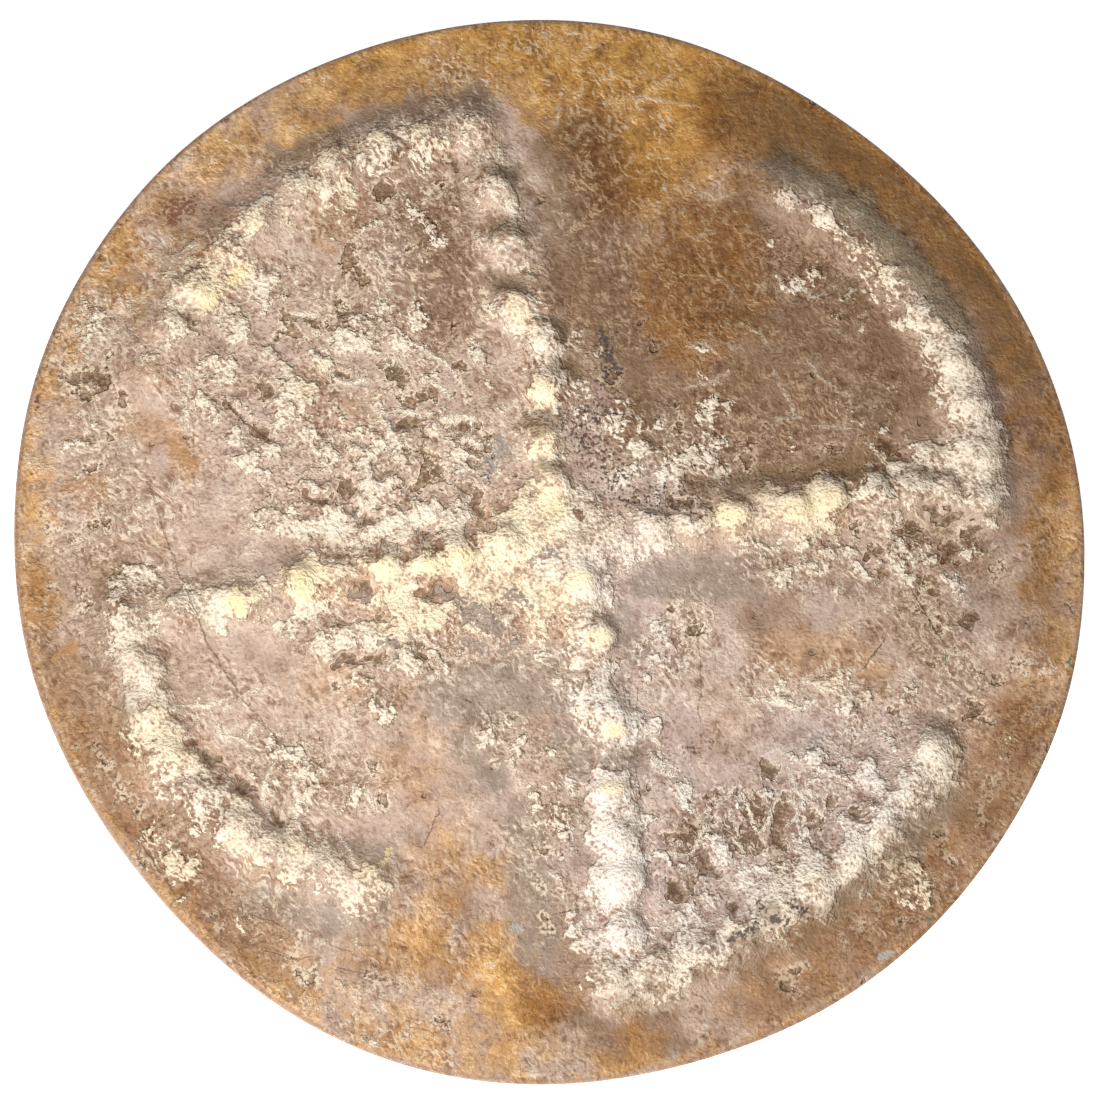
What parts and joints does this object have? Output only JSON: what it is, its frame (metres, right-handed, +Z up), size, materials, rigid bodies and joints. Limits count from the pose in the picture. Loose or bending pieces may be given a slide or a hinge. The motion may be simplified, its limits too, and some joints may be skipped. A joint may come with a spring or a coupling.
{
  "type": "disc brooch",
  "caption": "Round sheet-metal disc brooch with a whirling cross of punched bosses on its face and a plain pin fitting across its back.",
  "frame": {"origin": "on the resting surface, below the middle of the disc's bounding box", "axes": "+Z up out of the decorated face, +Y to the top of the face as the picture shows it, +X to its right"},
  "size_m": [0.0451, 0.0451, 0.0051],
  "materials": {
    "patinated_sheet": "brown patina with bare brass at the rim and a cream mineral crust on the bosses",
    "pin_metal": "dull brown patina, rubbed brighter on the pin"
  },
  "bodies": {
    "root": {"disc": "patinated_sheet", "pin_fitting": "pin_metal"}
  },
  "joints": []
}
